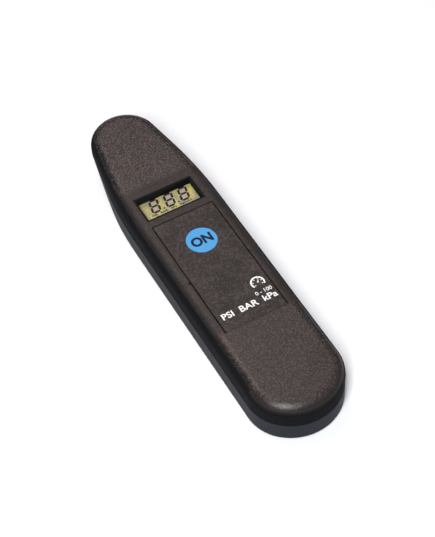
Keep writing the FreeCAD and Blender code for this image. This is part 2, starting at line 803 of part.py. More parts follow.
def screws():
    case_screw = screw("", CASE_CROSS)
    board_screw = screw("board_", BOARD_CROSS)
    group("case_screws", [
        case_screw.translated(V(*(length_of(text) for text in spot))) for spot in CASE_SCREWS
    ])
    group("board_screws", [
        board_screw.translated(V(length_of(x), length_of(y), DIMS["board_bottom"])) for x, y in BOARD_SCREWS
    ])


# ---- battery -------------------------------------------------------------------------------

def coin_cell():
    cell = turned("cell_can", [
        ("0", "0"),
        ("cell_radius - cell_edge", "0"),
        ("cell_radius", "cell_edge"),
        ("cell_radius", "cell - cell_step"),
        ("cell_radius - 2*cell_step", "cell - cell_step/2"),
        ("cell_radius - 3*cell_step", "cell"),
        ("0", "cell"),
    ])
    node(place(cell, "0", "cell_y", "cell_bottom"), "coin_cell")


def contacts():
    """Two bent strips that lead from the cell to pads under the board."""
    foot_z = "board_bottom - strip"
    reach = "(board_tail + strip_reach)"
    riser_y = "(cell_y + cell_radius - 2*strip_fit)"
    arm_z = "(cell_bottom + cell + touch_gap)"
    arm_length = f"({riser_y} - cell_y + arm_reach + strip/2)"
    arm = box("negative_arm", ("strip_width", arm_length, "strip"),
              ("0", f"cell_y - arm_reach + {arm_length}/2"), arm_z)
    riser = box("negative_riser", ("strip_width", "strip", f"board_bottom - {arm_z}"), ("0", riser_y), arm_z)
    foot = box("negative_foot", ("strip_width", f"{reach} - {riser_y} + strip/2", "strip"),
               ("0", f"({riser_y} - strip/2 + {reach})/2"), foot_z)
    node(fuse("negative_contact_solid", [arm, riser, foot]), "negative_contact")

    rim_x = "(cell_radius + touch_gap)"
    blade = box("positive_blade", ("strip", "strip_width", "board_bottom - cell_bottom - embed"),
                (f"{rim_x} + strip/2", "cell_y"), "cell_bottom + embed")
    tab_end = "(board_tongue/2 - tab_margin)"
    link = box("positive_link", (f"{rim_x} + strip - tab_start", "strip_width", "strip"),
               (f"({rim_x} + strip + tab_start)/2", "cell_y"), foot_z)
    tab = box("positive_tab", (f"{tab_end} - tab_start", f"{reach} - cell_y", "strip"),
              (f"({tab_end} + tab_start)/2", f"({reach} + cell_y)/2"), foot_z)
    node(fuse("positive_contact_solid", [blade, link, tab]), "positive_contact")


def battery_cap():
    """A flush round cap with a coin slot, which turns to free its three lugs."""
    hub_top = "cell_bottom - rest_gap"
    pieces = [
        cylinder("cap_disc", "cap_radius", "cap", "0", "cell_y", "cap_inset"),
        cylinder("cap_hub", "hub_radius", f"{hub_top} - cap_inset", "0", "cell_y", "cap_inset"),
    ]
    lug_end = DIMS["hub_radius"] + DIMS["lug_reach"]
    round_end = Part.makeCylinder(lug_end, DIMS["lug"])
    bar = Part.makeBox(lug_end, DIMS["lug_width"], DIMS["lug"], V(0, -DIMS["lug_width"] / 2, 0))
    for k in range(3):
        lug = doc.addObject("Part::Feature", f"cap_lug{k}")
        lug.Shape = bar.common(round_end)
        pieces.append(place(lug, "0", "cell_y", f"{hub_top} - lug", Rotation(V(0, 0, 1), 90 + 120 * k)))
    room = cylinder("cap_room", "hub_inner_radius", "cell_bottom", "0", "cell_y", "cap_inset + cap")
    slot = box("coin_slot", ("coin_slot_length", "coin_slot_width", "coin_slot_depth + cap_inset"),
               ("0", "cell_y"), "0")
    node(cut("battery_cap_cut", fuse("battery_cap_solid", pieces), [room, slot]), "battery_cap")


# ---- air path ------------------------------------------------------------------------------

MOUTH_Y = "nozzle_y + nozzle_stand*sin(slope_angle)"
MOUTH_Z = "(nozzle_y - slope_start)*tan(slope_angle) - nozzle_stand*cos(slope_angle)"
AIR_Y = f"{MOUTH_Y} - air_line_at*sin(slope_angle)"
AIR_Z = f"{MOUTH_Z} + air_line_at*cos(slope_angle)"
BACKWARDS = Rotation(V(1, 0, 0), 90)
SEAT_TOP = "(bore_length + seal_seat)"


def on_nozzle_axis(along, off="0"):
    """The y and z of a point that lies so far into the nozzle and so far off its axis."""
    y = f"{MOUTH_Y} - ({along})*sin(slope_angle) + ({off})*cos(slope_angle)"
    z = f"{MOUTH_Z} + ({along})*cos(slope_angle) + ({off})*sin(slope_angle)"
    return y, z


def nozzle():
    """A turned nozzle: guide bore, seat for the seal, and a spigot for the air tube."""
    shoulder = f"{SEAT_TOP} + nozzle_base"
    body = turned("nozzle_turning", [
        ("bore_radius", "mouth_chamfer"),
        ("bore_radius + mouth_chamfer", "0"),
        ("collar_radius - collar_chamfer", "0"),
        ("collar_radius", "collar_chamfer"),
        ("collar_radius", "nozzle_stand"),
        ("nozzle_radius", "nozzle_stand"),
        ("nozzle_radius", shoulder),
        ("stem_radius", shoulder),
        ("stem_radius", "stem_top"),
        ("0", "stem_top"),
        ("0", SEAT_TOP),
        ("seal_seat_radius", SEAT_TOP),
        ("seal_seat_radius", "bore_length"),
        ("bore_radius", "bore_length"),
    ])
    place(body, "0", MOUTH_Y, MOUTH_Z, TILT)
    spigot_length = f"{AIR_Y} - spigot_tip"
    spigot = cylinder("nozzle_spigot", "spigot_radius", spigot_length, "0", AIR_Y, AIR_Z, BACKWARDS)
    holes = [
        cylinder("nozzle_air_line", "air_hole_radius", f"{spigot_length} + overcut + embed", "0",
                 f"{AIR_Y} + embed", AIR_Z, BACKWARDS),
        cylinder("nozzle_pin_hole", "pin_radius", f"pin_root - {SEAT_TOP}", "0",
                 *on_nozzle_axis(SEAT_TOP), TILT),
        cylinder("nozzle_up_hole", "air_hole_radius", f"air_line_at - {SEAT_TOP} + embed", "0",
                 *on_nozzle_axis(SEAT_TOP, "air_hole_offset"), TILT),
    ]
    node(cut("nozzle_cut", fuse("nozzle_solid", [body, spigot]), holes), "nozzle")


def nozzle_nut():
    nut = new_body("nut_blank")
    outline = new_sketch(nut, "XY_Plane", "nut_outline")
    reach = "nut_flats/sqrt(3)"
    polygon(outline, [(f"{reach}*cos({60 * k})", f"{reach}*sin({60 * k})") for k in range(6)])
    pad(nut, outline, "nut", "nut_pad")
    hole = new_sketch(nut, "XY_Plane", "nut_hole")
    hole.addGeometry(Part.Circle(V(), V(0, 0, 1), DIMS["nozzle_radius"]))
    hole.addConstraint(Sketcher.Constraint("Coincident", 0, 3, -1, 1))
    dimension(hole, "hole", "nozzle_radius + nut_fit", "Radius", 0, DIMS["nozzle_radius"])
    pocket(nut, hole, "4*nut", "nut_thread", symmetric=True)
    doc.recompute()
    node(place(nut, "0", *on_nozzle_axis("nozzle_stand + wall + touch_gap"), TILT), "nozzle_nut")


def seal_and_pin():
    seal = turned("seal_ring", [
        ("seal_hole_radius", "bore_length + seal_fit"),
        ("seal_seat_radius - seal_fit", "bore_length + seal_fit"),
        ("seal_seat_radius - seal_fit", f"{SEAT_TOP} - seal_fit"),
        ("seal_hole_radius", f"{SEAT_TOP} - seal_fit"),
    ])
    node(place(seal, "0", MOUTH_Y, MOUTH_Z, TILT), "nozzle_seal")
    pin = turned("pin_turning", [
        ("0", "pin_tip"),
        ("pin_radius/2", "pin_tip"),
        ("pin_radius", "pin_tip + pin_radius/2"),
        ("pin_radius", "pin_root"),
        ("0", "pin_root"),
    ])
    node(place(pin, "0", MOUTH_Y, MOUTH_Z, TILT), "valve_pin")


def sensor():
    """The pressure sensor, its solder legs, and the tube that joins it to the nozzle."""
    middle = "board_head - sensor_inset - sensor_length/2"
    block = box("sensor_block", ("sensor_width", "sensor_length", "sensor_height"), ("0", middle), BOARD_TOP)
    port_length = "port_tip - board_head + overcut"
    port = cylinder("sensor_port", "spigot_radius", port_length, "0", "port_tip", AIR_Z, BACKWARDS)
    air = cylinder("sensor_air", "air_hole_radius", f"{port_length} + overcut", "0", "port_tip", AIR_Z,
                   BACKWARDS)
    node(cut("pressure_sensor_cut", fuse("sensor_solid", [block, port]), [air]), "pressure_sensor")

    side = DIMS["sensor_width"] / 2
    leg_y = DIMS["board_head"] - DIMS["sensor_inset"] - (DIMS["sensor_length"] + DIMS["leg_width"]) / 2
    leg_z = DIMS["board_bottom"] + DIMS["board"]
    leg = Part.makeBox(DIMS["leg_length"], DIMS["leg_width"], DIMS["leg"])
    group("sensor_legs", [
        leg.translated(V(x, leg_y + step * DIMS["leg_pitch"], leg_z))
        for x in (-side - DIMS["leg_length"], side) for step in (-1, 0, 1)
    ])


def air_tube():
    length = "tube_end - tube_start"
    inner_radius = "spigot_radius + tube_fit"
    skin = cylinder("tube_skin", f"{inner_radius} + tube_wall", length, "0", "tube_end", AIR_Z, BACKWARDS)
    hollow = cylinder("tube_hollow", inner_radius, f"{length} + 2*overcut", "0", "tube_end + overcut", AIR_Z,
                      BACKWARDS)
    node(cut("air_tube_cut", skin, [hollow]), "air_tube")


# ---- build, check and write ----------------------------------------------------------------

for build in (covers, key_panel, display, main_board, board_parts, switch, screws, coin_cell, contacts,
              battery_cap, nozzle, nozzle_nut, seal_and_pin, sensor, air_tube):
    build()
doc.recompute()
for thing in doc.Objects:
    if "Invalid" in thing.State or "Error" in thing.State:
        raise RuntimeError(f"{thing.Name} did not build: {thing.State}")
for name, thing in NODES.items():
    if thing.Shape.isNull() or not thing.Shape.isValid():
        raise RuntimeError(f"{name} has no valid shape")
os.makedirs("parts", exist_ok=True)
for name, thing in NODES.items():
    thing.Shape.exportStep(f"parts/{name}.step")
    print(f"{name}: {len(thing.Shape.Solids)} solid(s), {thing.Shape.Volume:.1f} mm3")
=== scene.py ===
"""Looks of the digital tyre pressure gauge: materials, printing, display, floor, light and camera."""

import json
import math

import bmesh
import bpy
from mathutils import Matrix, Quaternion, Vector


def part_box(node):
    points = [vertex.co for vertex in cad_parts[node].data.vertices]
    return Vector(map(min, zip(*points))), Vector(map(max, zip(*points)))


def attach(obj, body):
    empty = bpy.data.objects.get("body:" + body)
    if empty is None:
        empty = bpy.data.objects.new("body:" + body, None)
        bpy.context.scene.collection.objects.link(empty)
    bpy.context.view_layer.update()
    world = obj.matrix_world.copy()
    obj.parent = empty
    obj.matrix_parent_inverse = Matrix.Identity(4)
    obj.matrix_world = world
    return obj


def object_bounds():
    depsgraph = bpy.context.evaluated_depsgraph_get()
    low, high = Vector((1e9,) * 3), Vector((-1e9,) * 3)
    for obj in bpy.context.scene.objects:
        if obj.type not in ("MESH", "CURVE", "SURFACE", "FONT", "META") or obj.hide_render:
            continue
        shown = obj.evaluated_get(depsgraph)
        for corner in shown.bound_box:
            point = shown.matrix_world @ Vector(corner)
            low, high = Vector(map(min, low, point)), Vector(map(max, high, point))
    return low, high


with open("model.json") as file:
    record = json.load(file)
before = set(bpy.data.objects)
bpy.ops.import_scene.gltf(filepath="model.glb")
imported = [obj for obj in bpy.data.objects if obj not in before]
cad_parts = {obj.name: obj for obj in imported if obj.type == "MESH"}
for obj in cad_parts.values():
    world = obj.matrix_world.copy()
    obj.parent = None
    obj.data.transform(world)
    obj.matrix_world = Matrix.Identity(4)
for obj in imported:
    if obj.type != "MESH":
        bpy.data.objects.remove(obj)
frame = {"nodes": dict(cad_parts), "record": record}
CAD_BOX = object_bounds()

MM = 0.001
NODES = frame["nodes"]
PANEL_HEAD_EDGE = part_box("key_panel")[1].y
CASE_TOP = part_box("front_cover")[1].z
FILM_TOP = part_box("lcd_front_polariser")[1].z
CAP_LOW, CAP_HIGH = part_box("battery_cap")

# ink stands this high on its surface, and starts a little below it so that no gap shows
INK = 0.02 * MM
INK_ROOT = INK / 4

# printing and display colours, as linear red, green and blue
SPOT_BLUE = (0.062, 0.30, 0.60)
NAVY = (0.006, 0.010, 0.028)
WHITE_INK = (0.80, 0.80, 0.80)
DISPLAY_GREEN = (0.42, 0.39, 0.105)
DISPLAY_GREY = (0.24, 0.22, 0.155)
SEGMENT_DARK = (0.016, 0.012, 0.007)
CELL_GREY = (0.34, 0.285, 0.235)


# ---- material building blocks ----------------------------------------------------------------

class Surface:
    """One procedural material: a Principled shader and the nodes that lead to it."""

    def __init__(self, name, **sockets):
        self.material = bpy.data.materials.new(name)
        self.material.use_nodes = True
        self.tree = self.material.node_tree
        self.shader = self.tree.nodes["Principled BSDF"]
        self.finish(**sockets)
        place = self.add("ShaderNodeTexCoord").outputs["Object"]
        self.where = self.vector("SCALE", place, Scale=1 / MM)

    def finish(self, **sockets):
        """Feed the shader's sockets, whose names are given with underscores for spaces."""
        self.feed(self.shader, {key.replace("_", " "): value for key, value in sockets.items()})
        return self.material

    def feed(self, node, inputs):
        """Link or set a node's inputs, given by their names or numbers."""
        for key, value in inputs.items():
            socket = node.inputs[key]
            if isinstance(value, bpy.types.NodeSocket):
                self.tree.links.new(value, socket)
            elif socket.type == "RGBA" and len(value) == 3:
                socket.default_value = (*value, 1.0)
            else:
                socket.default_value = value

    def add(self, kind, inputs=None, **settings):
        """A new node with its settings and inputs."""
        node = self.tree.nodes.new(kind)
        for key, value in settings.items():
            setattr(node, key, value)
        self.feed(node, inputs or {})
        return node

    def vector(self, operation, first, second=None, **inputs):
        node = self.add("ShaderNodeVectorMath", inputs, operation=operation)
        self.feed(node, {0: first} if second is None else {0: first, 1: second})
        return node.outputs["Vector"]

    def math(self, operation, first, second=0.0):
        return self.add("ShaderNodeMath", {0: first, 1: second}, operation=operation).outputs[0]

    def away(self, value, middle):
        """How far a value lies from the middle, on either side of it."""
        return self.math("ABSOLUTE", self.math("SUBTRACT", value, middle))

    def squeezed(self, factors):
        """Coordinates in millimetres times a factor per axis: a small factor draws a pattern out."""
        return self.vector("MULTIPLY", self.where, factors)

    def split(self):
        """The X, Y and Z coordinates in millimetres."""
        return self.add("ShaderNodeSeparateXYZ", {0: self.where}).outputs

    def noise(self, size, detail=2.0, roughness=0.5, where=None):
        """Soft noise whose blotches are about size millimetres across."""
        return self.add("ShaderNodeTexNoise", {
            "Vector": where or self.where, "Scale": 1 / size, "Detail": detail, "Roughness": roughness,
        }).outputs["Fac"]

    def cells(self, size, feature="F1"):
        """Distance to the middle or edge of the nearest of many random cells, in cell sizes."""
        return self.add("ShaderNodeTexVoronoi", {
            "Vector": self.where, "Scale": 1 / size,
        }, feature=feature).outputs["Distance"]

    def remap(self, value, low, high, to_low=0.0, to_high=1.0, smooth=False):
        """A ramp that goes from to_low to to_high while the value goes from low to high."""
        node = self.add("ShaderNodeMapRange", {
            "Value": value, "From Min": low, "From Max": high, "To Min": to_low, "To Max": to_high,
        }, interpolation_type="SMOOTHSTEP" if smooth else "LINEAR")
        return node.outputs["Result"]

    def vary(self, noise, low, high):
        """A value that goes from low to high with a noise, which lies mostly between 0.3 and 0.7."""
        return self.remap(noise, 0.3, 0.7, low, high)

    def mix(self, kind, factor, first, second, sockets):
        """A mix of two values. The Mix node's sockets share names, so they are given by number."""
        node = self.add("ShaderNodeMix", {"Factor": factor}, data_type=kind)
        first_in, second_in, out = sockets
        self.feed(node, {first_in: first, second_in: second})
        return node.outputs[out]

    def blend(self, factor, first, second):
        """A mix of two numbers."""
        return self.mix("FLOAT", factor, first, second, (2, 3, 0))

    def tint(self, factor, first, second):
        """A mix of two colours."""
        return self.mix("RGBA", factor, first, second, (6, 7, 2))

    def bump(self, height, depth):
        """Raise the surface by height times depth millimetres."""
        node = self.add("ShaderNodeBump", {"Height": height, "Distance": depth * MM, "Strength": 1.0})
        return node.outputs["Normal"]


def shade(colour, amount):
    """A colour made darker or lighter."""
    return tuple(channel * amount for channel in colour)


def grainy(name, colour, grain, patch, depth, roughness, mottle, gloss):
    """A grain of pits and larger patches of tone. Grain, patch and depth are in millimetres."""
    surface = Surface(name, Specular_IOR_Level=gloss)
    pits = surface.noise(grain, 3.0, 0.6)
    patches = surface.noise(patch)
    tone = surface.blend(0.5, pits, patches)
    rough = surface.vary(pits, roughness - 0.05, roughness + 0.07)
    return surface.finish(
        Base_Color=surface.tint(tone, shade(colour, 1 - mottle), shade(colour, 1 + mottle)),
        Roughness=rough,
        Normal=surface.bump(pits, depth),
    )


def moulded(name, colour, grain, depth, roughness, mottle=0.12, gloss=0.5):
    """Moulded plastic with an even spark-eroded grain."""
    return grainy(name, colour, grain, 18.0, depth, roughness, mottle, gloss)


# ---- plastics of the case ----------------------------------------------------------------------

# colours, as linear red, green and blue
CASE_TONE = (0.0242, 0.0184, 0.0166)
# the wall colour below is painted shade with a cool tint, laid on walls and roundings that face away
# from the light and in the window's recess
WALL_SHADE_TONE = (0.0025, 0.0030, 0.0045)
PANEL_TONE = (0.019, 0.0145, 0.0132)
BACK_TONE = (0.0120, 0.0140, 0.0220)
FLECK = (0.144, 0.122, 0.115)

# how strongly the plastics shine: the top, the sides of the front cover, and the rear cover
MATTE = 0.28
DULL = 0.13
BACK_GLOSS = 0.16
WALL_ROUGHNESS = 0.95

# all places below are millimetres in the frame; most pairs are where a change starts and ends

# the matte band round display and panel, along Y, and half the width of its soft ends
SMOOTH_FROM, SMOOTH_TO = -34.5, 35.0
SMOOTH_EDGE = 1.5

# the window's opening, and how far outside it the painted shade of its recess fades
WINDOW_MIDDLE, WINDOW_HALF = (-0.5, 25.15), (10.5, 4.95)
WINDOW_SHADE_FROM, WINDOW_SHADE_TO = 0.6, 0.85

# along Y, where the body passes into the head, and where the tail passes into the sides
HEAD_FROM, HEAD_TO = 26.0, 44.0
TAIL_BEFORE, SIDES_AFTER = -66.0, -52.0

# away from the middle along X, where the flanks start, which count as this much of a head
FLANK_FROM, FLANK_TO = 9.0, 14.0
FLANK_SHARE = 0.7

# heights between which the rough wall turns into the top, on the body and on the head
WALL_BELOW, FLAT_ABOVE = 13.9, 15.3
HEAD_WALL_BELOW, HEAD_FLAT_ABOVE = 15.2, 16.4

# heights between which the painted shade of the walls and roundings gives way to the colour of the top
SHADE_BELOW, HEAD_SHADE_BELOW, UNSHADED_ABOVE = 14.4, 15.95, 16.5

# heights where the flecks set in, and how much of them the walls lose as part of their painted shade
FLECKLESS_BELOW, FLECKED_ABOVE = 15.3, 16.4
FLECKLESS_SHARE = 0.95

# below these heights the front cover has its duller finish, on the tail and on the sides
TAIL_SIDE_BELOW, SIDE_BELOW = 13.4, 15.4


def outside_window(surface, place):
    """How far a point lies outside the window's opening along X or Y, whichever is more."""
    outside = [
        surface.math("SUBTRACT", surface.away(place[axis], middle), half)
        for axis, middle, half in zip("XY", WINDOW_MIDDLE, WINDOW_HALF)
    ]
    return surface.math("MAXIMUM", *outside)


def case_plastic(name, gloss):
    """Coarse sparkling grain on head and tail, a fine matte band between them, and painted shade, dark
    and without flecks, on the sides and in the window's recess.
    """
    surface = Surface(name, Specular_IOR_Level=gloss)
    place = surface.split()

    # where a point lies: its shares in the coarse ends, the head and the walls, and the painted shade
    # of the walls and of the window's recess and rim
    middle = (SMOOTH_FROM + SMOOTH_TO) / 2
    half = (SMOOTH_TO - SMOOTH_FROM) / 2
    from_middle = surface.away(place["Y"], middle)
    coarse = surface.remap(from_middle, half - SMOOTH_EDGE, half + SMOOTH_EDGE, smooth=True)
    # painted shade: the window's recess walls and a narrow band round the opening count as shaded
    window_shade = surface.remap(outside_window(surface, place), WINDOW_SHADE_FROM, WINDOW_SHADE_TO, 1.0, 0.0)
    head = surface.remap(place["Y"], HEAD_FROM, HEAD_TO, smooth=True)
    along_sides = surface.remap(place["Y"], TAIL_BEFORE, SIDES_AFTER)
    flank = surface.remap(surface.math("ABSOLUTE", place["X"]), FLANK_FROM, FLANK_TO, 0.0, FLANK_SHARE)
    # on the head and flanks the rough wall and the painted shade reach higher up
    head_and_flanks = surface.math("MAXIMUM", head, surface.math("MULTIPLY", flank, along_sides))
    wall_below = surface.blend(head_and_flanks, WALL_BELOW, HEAD_WALL_BELOW)
    flat_above = surface.blend(head_and_flanks, FLAT_ABOVE, HEAD_FLAT_ABOVE)
    upright = surface.remap(place["Z"], wall_below, flat_above, 1.0, 0.0, smooth=True)
    wall = surface.math("MAXIMUM", upright, window_shade)
    fleckless = surface.remap(place["Z"], FLECKLESS_BELOW, FLECKED_ABOVE, FLECKLESS_SHARE, 0.0)
    fleckless_shade = surface.math("MAXIMUM", fleckless, window_shade)
    # painted shade: how far down the walls and roundings are darkened, starting higher on the head and
    # flanks
    shade_below = surface.blend(head_and_flanks, SHADE_BELOW, HEAD_SHADE_BELOW)
    dark = surface.math("MAXIMUM", surface.remap(place["Z"], shade_below, UNSHADED_ABOVE, 1.0, 0.0), window_shade)

    # the grain, made of round grit, sharp lumps and a finer grain for the matte band
    grit = surface.cells(0.6, "SMOOTH_F1")
    lumps = surface.noise(0.45, 4.0, 0.7)
    fine = surface.noise(0.5, 3.0, 0.6)
    coarse_height = surface.math("SUBTRACT", lumps, surface.math("MULTIPLY", grit, 0.7))
    height = surface.blend(coarse, surface.math("MULTIPLY", fine, 0.4), coarse_height)

    # pale flecks on head and tail, a faint mottle between them, and next to nothing on the sides and
    # round the window, which the painted shade keeps dark
    crests = surface.math("SUBTRACT", lumps, surface.math("MULTIPLY", grit, 0.6))
    fleck = surface.remap(crests, 0.22, 0.52)
    strength = surface.remap(place["Y"], SMOOTH_FROM, SMOOTH_TO, 0.5, 0.85)
    mottle = surface.remap(surface.noise(0.9, 4.0, 0.7), 0.45, 0.75, 0.0, 0.2)
    speckle = surface.blend(coarse, mottle, surface.math("MULTIPLY", fleck, strength))
    shown = surface.blend(fleckless_shade, speckle, 0.0)
    patches = surface.noise(9.0)
    ground = surface.tint(patches, shade(CASE_TONE, 0.65), shade(CASE_TONE, 1.4))
    # painted shade: the ground turns to the dark wall colour on the shaded walls and roundings and in
    # the window's recess; on the tail it follows the rough wall, so the rounding there stays lighter
    plain = surface.tint(surface.blend(along_sides, wall, dark), ground, WALL_SHADE_TONE)

    even = surface.remap(fine, 0.35, 0.65, 0.42, 0.60)
    worn = surface.vary(lumps, 0.20, 0.30)
    return surface.finish(
        Base_Color=surface.tint(shown, plain, FLECK),
        Roughness=surface.blend(wall, surface.blend(coarse, even, worn), WALL_ROUGHNESS),
        Normal=surface.bump(height, 0.07),
    )


def panel_plastic():
    """Fine matte grain, a little darker than the case, with a pale mottle and sparse pale specks."""
    surface = Surface("panel_plastic", Specular_IOR_Level=MATTE)
    fine = surface.noise(0.9, 4.0, 0.7)
    patches = surface.noise(7.0)
    spots = surface.cells(1.5)
    speck = surface.math("MULTIPLY", surface.remap(spots, 0.07, 0.15, 1.0, 0.0), 0.8)
    mottle = surface.remap(surface.blend(0.2, fine, patches), 0.45, 0.72, 0.0, 0.5)
    ground = surface.tint(patches, shade(PANEL_TONE, 0.7), shade(PANEL_TONE, 1.1))
    return surface.finish(
        Base_Color=surface.tint(surface.math("MAXIMUM", speck, mottle), ground, FLECK),
        Roughness=surface.remap(fine, 0.35, 0.65, 0.38, 0.60),
        Normal=surface.bump(fine, 0.08),
    )


# ---- other materials -------------------------------------------------------------------------

def metal(name, colour, roughness, lines=(1.0, 1.0, 30.0)):
    """Turned, rolled or plated metal with fine tool lines, packed close along one axis."""
    surface = Surface(name, Metallic=1.0)
    scratch = surface.noise(0.4, 3.0, 0.6, where=surface.squeezed(lines))
    tarnish = surface.noise(3.0, 3.0, 0.6)
    return surface.finish(
        Base_Color=surface.tint(tarnish, shade(colour, 0.78), shade(colour, 1.06)),
        Roughness=surface.remap(scratch, 0.25, 0.75, roughness - 0.08, roughness + 0.12),
        Normal=surface.bump(scratch, 0.006),
    )


def rubber(name, colour, roughness):
    """Soft rubber with a fine grain."""
    return moulded(name, colour, 0.35, 0.015, roughness)


def ink(name, colour, roughness, mottle):
    """Screen-printed ink that keeps a little of the grain below it."""
    return grainy(name, colour, 0.24, 2.2, 0.012, roughness, mottle, MATTE)


def polariser():
    """The yellow-green film of the display, with greyer streaks running up and down."""
    surface = Surface("polariser")
    streak = surface.noise(1.6, 3.0, 0.6, where=surface.squeezed((1.0, 0.3, 1.0)))
    grain = surface.noise(0.45, 2.0, 0.6)
    grey = surface.remap(surface.blend(0.35, streak, grain), 0.42, 0.58, smooth=True)
    return surface.finish(
        Base_Color=surface.tint(grey, DISPLAY_GREEN, DISPLAY_GREY),
        Roughness=surface.vary(grain, 0.42, 0.52),
        Normal=surface.bump(grain, 0.002),
    )


def display_glass():
    """Clear glass with a faint smear."""
    surface = Surface("display_glass", Transmission_Weight=0.9, IOR=1.5)
    smear = surface.noise(2.0)
    return surface.finish(
        Base_Color=surface.tint(smear, (0.82, 0.9, 0.85), (0.9, 0.95, 0.92)),
        Roughness=surface.vary(smear, 0.03, 0.07),
    )


# radians per millimetre of the wave that makes the zebra rubber's layers
ZEBRA_WAVE = 31.4


def zebra_rubber():
    """Thin black and pale layers of conducting and plain rubber, five of each per millimetre."""
    surface = Surface("zebra_rubber")
    turns = surface.math("MULTIPLY", surface.split()["X"], ZEBRA_WAVE)
    wave = surface.math("SINE", turns)
    stripe = surface.remap(wave, -0.2, 0.2)
    return surface.finish(
        Base_Color=surface.tint(stripe, (0.02, 0.02, 0.02), (0.62, 0.6, 0.56)),
        Roughness=surface.vary(surface.noise(0.3), 0.5, 0.62),
    )


def board():
    """Green solder mask, paler where a copper track lies below it."""
    surface = Surface("board", Coat_Weight=0.3, Coat_Roughness=0.2)
    weave = surface.noise(0.5, 1.0)
    tracks = surface.cells(2.4, "DISTANCE_TO_EDGE")
    track = surface.remap(tracks, 0.06, 0.09, 1.0, 0.0)
    mask = surface.tint(weave, (0.012, 0.075, 0.03), (0.018, 0.1, 0.042))
    return surface.finish(
        Base_Color=surface.tint(track, mask, (0.035, 0.17, 0.075)),
        Roughness=surface.vary(weave, 0.32, 0.42),
        Normal=surface.bump(track, 0.02),
    )


def ceramic_chip():
    """Brown fired ceramic."""
    surface = Surface("ceramic_chip")
    grain = surface.noise(0.3)
    return surface.finish(
        Base_Color=surface.tint(grain, (0.2, 0.14, 0.08), (0.4, 0.3, 0.18)),
        Roughness=surface.vary(grain, 0.35, 0.5),
        Normal=surface.bump(grain, 0.01),
    )


# one material for each slot of the record
MATERIALS = {
    "case_plastic": case_plastic("case_plastic", MATTE),
    "back_plastic": moulded("back_plastic", BACK_TONE, 0.5, 0.03, 0.6, mottle=0.3, gloss=BACK_GLOSS),
    "panel_plastic": panel_plastic(),
    "polariser": polariser(),
    "display_glass": display_glass(),
    "reflector_film": metal("reflector_film", (0.72, 0.7, 0.52), 0.4, (1.0, 12.0, 1.0)),
    "zebra_rubber": zebra_rubber(),
    "frame_plastic": moulded("frame_plastic", (0.6, 0.58, 0.5), 0.4, 0.01, 0.42),
    "board": board(),
    "epoxy": moulded("epoxy", (0.012, 0.012, 0.012), 0.8, 0.01, 0.25),
    "nickel": metal("nickel", (0.66, 0.64, 0.58), 0.28, (1.0, 20.0, 1.0)),
    "ceramic_chip": ceramic_chip(),
    "switch_plastic": moulded("switch_plastic", (0.015, 0.015, 0.016), 0.4, 0.01, 0.4),
    "steel": metal("steel", (0.56, 0.57, 0.58), 0.26, (1.0, 1.0, 20.0)),
    "screw_steel": metal("screw_steel", (0.17, 0.17, 0.18), 0.34),
    "brass": metal("brass", (0.78, 0.55, 0.22), 0.24),
    "seal_rubber": rubber("seal_rubber", (0.02, 0.02, 0.021), 0.62),
    "silicone": rubber("silicone", (0.62, 0.58, 0.5), 0.5),
    "sensor_plastic": moulded("sensor_plastic", (0.58, 0.57, 0.53), 0.4, 0.01, 0.4),
}
for part in frame["record"]["subparts"]:
    mesh = NODES[part["node"]].data
    mesh.materials.clear()
    mesh.materials.append(MATERIALS[part["material_slot"]])


def dull_sides():
    """Give the lower faces of the front cover the same plastic with less shine."""
    mesh = NODES["front_cover"].data
    mesh.materials.append(case_plastic("case_side", DULL))
    for face in mesh.polygons:
        share = min(max((face.center.y / MM - TAIL_BEFORE) / (SIDES_AFTER - TAIL_BEFORE), 0.0), 1.0)
        if face.center.z / MM < TAIL_SIDE_BELOW + share * (SIDE_BELOW - TAIL_SIDE_BELOW):
            face.material_index = 1


dull_sides()


# ---- mesh building blocks ----------------------------------------------------------------------

def place_in_scene(name, data):
    """A new object that shows a mesh, text curve, light or camera."""
    thing = bpy.data.objects.new(name, data)
    bpy.context.scene.collection.objects.link(thing)
    return thing


def piece(name, mesh, body, material):
    """Put a finished mesh, given in the shared frame, on a body."""
    mesh.materials.clear()
    mesh.materials.append(material)
    thing = place_in_scene(name, mesh)
    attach(thing, body)


def made_mesh(name, build):
    """The mesh of what was built."""
    mesh = bpy.data.meshes.new(name)
    build.to_mesh(mesh)
    build.free()
    return mesh


def sheet_mesh(name, outlines, low, high):
    """Flat closed solids between two heights, one for each outline of (x, y) points in order."""
    build = bmesh.new()
    for outline in outlines:
        base = [build.verts.new((x, y, low)) for x, y in outline]
        roof = [build.verts.new((x, y, high)) for x, y in outline]
        build.faces.new(list(reversed(base)))
        build.faces.new(roof)
        for k in range(len(outline)):
            after = (k + 1) % len(outline)
            build.faces.new((base[k], base[after], roof[after], roof[k]))
    return made_mesh(name, build)


def direction(angle):
    """The unit vector at that many degrees from +X."""
    turn = math.radians(angle)
    return Vector((math.cos(turn), math.sin(turn)))


def across(along):
    """A direction turned a quarter to the left."""
    return Vector((-along.y, along.x))


def circle(centre, radius, count=96):
    """The points of a circle, in order."""
    return [
        (centre[0] + radius * math.cos(2 * math.pi * k / count),
         centre[1] + radius * math.sin(2 * math.pi * k / count))
        for k in range(count)
    ]


def arc_mesh(name, centre, radii, start, sweep, heights, count):
    """Part of a flat ring between two radii and two heights. Start and sweep are in degrees."""
    inner, outer = radii
    low, high = heights
    build = bmesh.new()
    rows = []
    for k in range(count + 1):
        along = direction(start + sweep * k / count)
        rows.append([
            build.verts.new((centre[0] + radius * along.x, centre[1] + radius * along.y, height))
            for radius, height in ((inner, low), (outer, low), (outer, high), (inner, high))
        ])
    for first, second in zip(rows, rows[1:]):
        for j in range(4):
            build.faces.new((first[j], first[(j + 1) % 4], second[(j + 1) % 4], second[j]))
    build.faces.new(rows[0])
    build.faces.new(list(reversed(rows[-1])))
    bmesh.ops.recalc_face_normals(build, faces=build.faces)
    return made_mesh(name, build)


